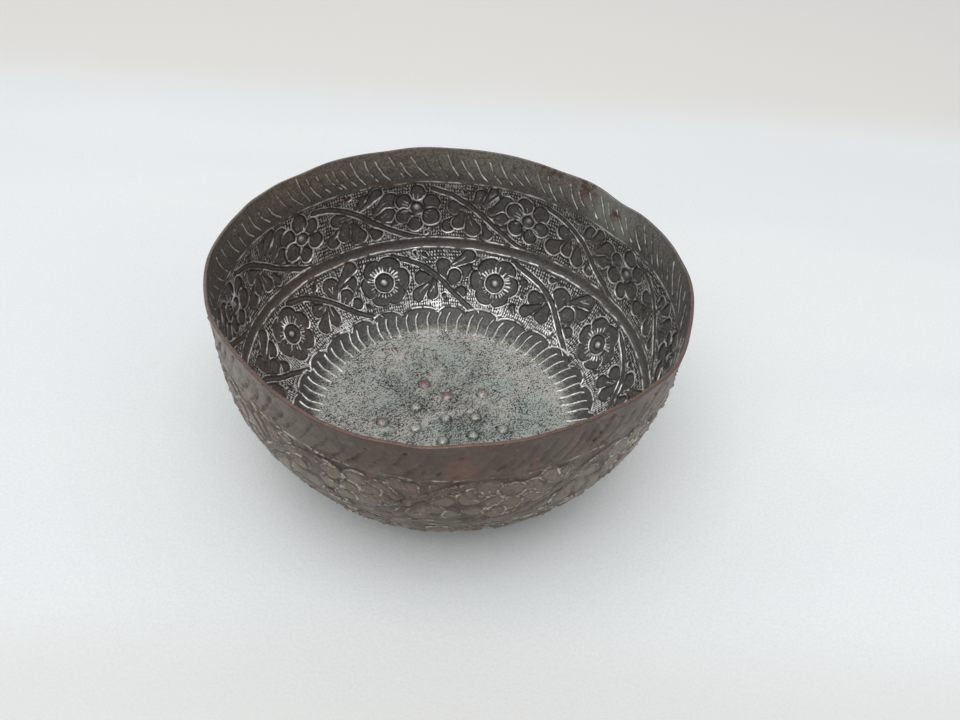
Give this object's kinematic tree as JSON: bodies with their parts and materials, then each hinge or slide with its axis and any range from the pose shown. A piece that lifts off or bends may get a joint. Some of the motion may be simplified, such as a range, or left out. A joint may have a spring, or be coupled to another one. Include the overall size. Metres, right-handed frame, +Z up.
{
  "type": "chased copper bowl",
  "caption": "Round deep bowl raised from one copper sheet and tinned inside, with chased flower bands, a ring of flutes and a flat floor with punched bosses.",
  "frame": {"origin": "middle of the flat underside, on the surface that the bowl stands on", "axes": "+Z up along the bowl's axis, out of its mouth"},
  "size_m": [0.16, 0.16, 0.0737],
  "materials": {
    "aged_copper": "dark brown patina, bare copper at the rim",
    "worn_tin": "dull worn tin, dark in the hollows"
  },
  "bodies": {
    "root": {"copper_shell": "aged_copper", "tin_lining": "worn_tin"}
  },
  "joints": []
}
